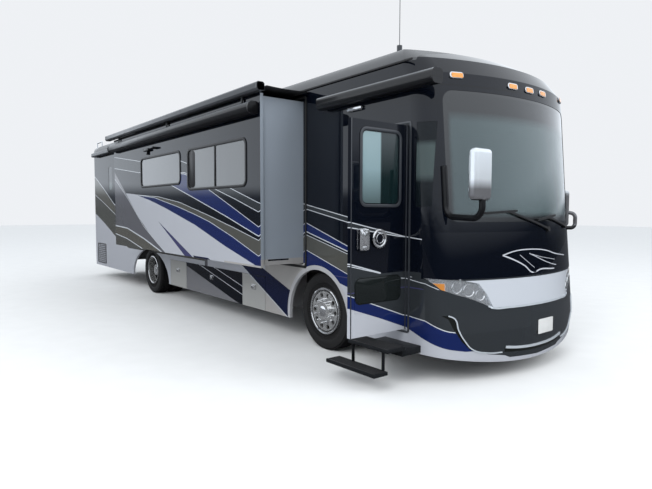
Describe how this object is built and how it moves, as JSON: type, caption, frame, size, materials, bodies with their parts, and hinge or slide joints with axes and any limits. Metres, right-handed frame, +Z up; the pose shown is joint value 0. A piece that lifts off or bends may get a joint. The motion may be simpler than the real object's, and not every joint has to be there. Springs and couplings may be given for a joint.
{
  "type": "motorhome",
  "caption": "Rear-engined motorhome with extended slide-outs, open entry door, roof units, steered front wheels and twin rear wheels.",
  "frame": {"origin": "on the ground in the middle of the vehicle's length and width", "axes": "+X forward, +Y to the driver's side (left), +Z up"},
  "size_m": [12.26, 4.129, 4.56],
  "materials": {
    "dark_paint": "deep gloss clear-coated paint",
    "silver_paint": "metallic gloss paint",
    "tinted_glass": "tinted",
    "lamp_lens": "clear lens",
    "red_lens": "red lens",
    "amber_lens": "amber lens",
    "chrome": "polished",
    "aluminium": "polished wheel",
    "tyre": "tread rubber",
    "rubber": "moulded",
    "chassis_steel": "black chassis paint",
    "iron": "as cast",
    "black_plastic": "grained",
    "white_plastic": "moulded shroud",
    "fabric": "coated cloth",
    "seat_leather": "upholstery",
    "floor_panel": "laminated deck",
    "roof_skin": "gel-coated roof",
    "bay_steel": "grey paint"
  },
  "bodies": {
    "root": {"chassis_frame": "chassis_steel", "cross_members": "chassis_steel", "front_axle": "chassis_steel", "rear_axle": "iron", "air_springs": "rubber", "engine": "iron", "fuel_tank": "chassis_steel", "exhaust": "chassis_steel", "floor": "floor_panel", "stepwell": "chassis_steel", "side_wall_right": "dark_paint", "side_wall_left": "dark_paint", "roof": "roof_skin", "front_cap": "dark_paint", "bumper": "silver_paint", "rear_cap": "dark_paint", "windshield": "tinted_glass", "side_windows": "tinted_glass", "headlights": "lamp_lens", "tail_lights": "red_lens", "marker_lights": "amber_lens", "mirrors": "chrome", "wipers": "black_plastic", "entry_steps": "chassis_steel", "awnings": "black_plastic", "cargo_bays": "bay_steel", "roof_units": "white_plastic", "antenna": "black_plastic", "rear_ladder": "chrome", "cab_seats": "seat_leather", "dashboard": "black_plastic", "topper_right": "fabric", "topper_left": "fabric"},
    "knuckle_left": {"knuckle_left": "iron"},
    "knuckle_right": {"knuckle_right": "iron"},
    "tie_rod": {"tie_rod": "chassis_steel"},
    "front_wheel_left": {"front_tyre_left": "tyre", "front_wheel_left": "aluminium"},
    "front_wheel_right": {"front_tyre_right": "tyre", "front_wheel_right": "aluminium"},
    "rear_wheels_left": {"rear_tyres_left": "tyre", "rear_wheels_left": "aluminium"},
    "rear_wheels_right": {"rear_tyres_right": "tyre", "rear_wheels_right": "aluminium"},
    "entry_door": {"entry_door": "dark_paint", "entry_door_glass": "tinted_glass"},
    "slide_right": {"slide_right": "dark_paint", "slide_glass_right": "tinted_glass", "slide_rollers_right": "black_plastic"},
    "slide_left": {"slide_left": "dark_paint", "slide_glass_left": "tinted_glass", "slide_rollers_left": "black_plastic"},
    "engine_door": {"engine_door": "dark_paint"},
    "bay_door_rear_right": {"bay_door_rear_right": "silver_paint"},
    "bay_door_rear_left": {"bay_door_rear_left": "silver_paint"},
    "bay_door_middle_right": {"bay_door_middle_right": "silver_paint"},
    "bay_door_middle_left": {"bay_door_middle_left": "silver_paint"},
    "bay_door_front_right": {"bay_door_front_right": "silver_paint"},
    "bay_door_front_left": {"bay_door_front_left": "silver_paint"}
  },
  "joints": [
    {"name": "steer_left", "type": "hinge", "parent": "root", "child": "knuckle_left", "pos_m": [3.83, 0.915, 0.46], "axis": [0, 0, 1], "range_deg": [-40, 40]},
    {"name": "steer_right", "type": "hinge", "parent": "root", "child": "knuckle_right", "pos_m": [3.83, -0.915, 0.46], "axis": [0, 0, 1], "range_deg": [-40, 40]},
    {"name": "tie_rod_swing", "type": "hinge", "parent": "knuckle_left", "child": "tie_rod", "pos_m": [3.57, 0.915, 0.3], "axis": [0, 0, 1], "range_deg": [-40, 40]},
    {"name": "front_spin_left", "type": "hinge", "parent": "knuckle_left", "child": "front_wheel_left", "pos_m": [3.83, 1.095, 0.478], "axis": [0, 1, 0], "continuous": true},
    {"name": "front_spin_right", "type": "hinge", "parent": "knuckle_right", "child": "front_wheel_right", "pos_m": [3.83, -1.095, 0.478], "axis": [0, 1, 0], "continuous": true},
    {"name": "rear_spin_left", "type": "hinge", "parent": "root", "child": "rear_wheels_left", "pos_m": [-1.96, 1.095, 0.478], "axis": [0, 1, 0], "continuous": true},
    {"name": "rear_spin_right", "type": "hinge", "parent": "root", "child": "rear_wheels_right", "pos_m": [-1.96, -1.095, 0.478], "axis": [0, 1, 0], "continuous": true},
    {"name": "entry_door_hinge", "type": "hinge", "parent": "root", "child": "entry_door", "pos_m": [5.258, -1.2825, 1.535], "axis": [0, 0, 1], "range_deg": [-90, 0]},
    {"name": "bay_door_rear_right_hinge", "type": "hinge", "parent": "root", "child": "bay_door_rear_right", "pos_m": [-0.487, -1.2825, 0.775], "axis": [-1, 0, 0], "range_deg": [0, 90]},
    {"name": "bay_door_rear_left_hinge", "type": "hinge", "parent": "root", "child": "bay_door_rear_left", "pos_m": [-0.487, 1.2825, 0.775], "axis": [1, 0, 0], "range_deg": [0, 90]},
    {"name": "bay_door_middle_right_hinge", "type": "hinge", "parent": "root", "child": "bay_door_middle_right", "pos_m": [0.895, -1.2825, 0.775], "axis": [-1, 0, 0], "range_deg": [0, 90]},
    {"name": "bay_door_middle_left_hinge", "type": "hinge", "parent": "root", "child": "bay_door_middle_left", "pos_m": [0.895, 1.2825, 0.775], "axis": [1, 0, 0], "range_deg": [0, 90]},
    {"name": "bay_door_front_right_hinge", "type": "hinge", "parent": "root", "child": "bay_door_front_right", "pos_m": [2.237, -1.2825, 0.775], "axis": [-1, 0, 0], "range_deg": [0, 90]},
    {"name": "bay_door_front_left_hinge", "type": "hinge", "parent": "root", "child": "bay_door_front_left", "pos_m": [2.237, 1.2825, 0.775], "axis": [1, 0, 0], "range_deg": [0, 90]},
    {"name": "engine_door_hinge", "type": "hinge", "parent": "root", "child": "engine_door", "pos_m": [-6.02, 0, 1.442], "axis": [0, 1, 0], "range_deg": [0, 80]},
    {"name": "slide_right_travel", "type": "slide", "parent": "root", "child": "slide_right", "axis": [0, 1, 0], "range_m": [0, 0.585], "deforming": ["topper_right"]},
    {"name": "slide_left_travel", "type": "slide", "parent": "root", "child": "slide_left", "axis": [0, -1, 0], "range_m": [0, 0.585], "deforming": ["topper_left"]}
  ],
  "couplings": [
    {"joint": "steer_right", "follows": "steer_left", "ratio": 1},
    {"joint": "tie_rod_swing", "follows": "steer_left", "ratio": -1}
  ]
}
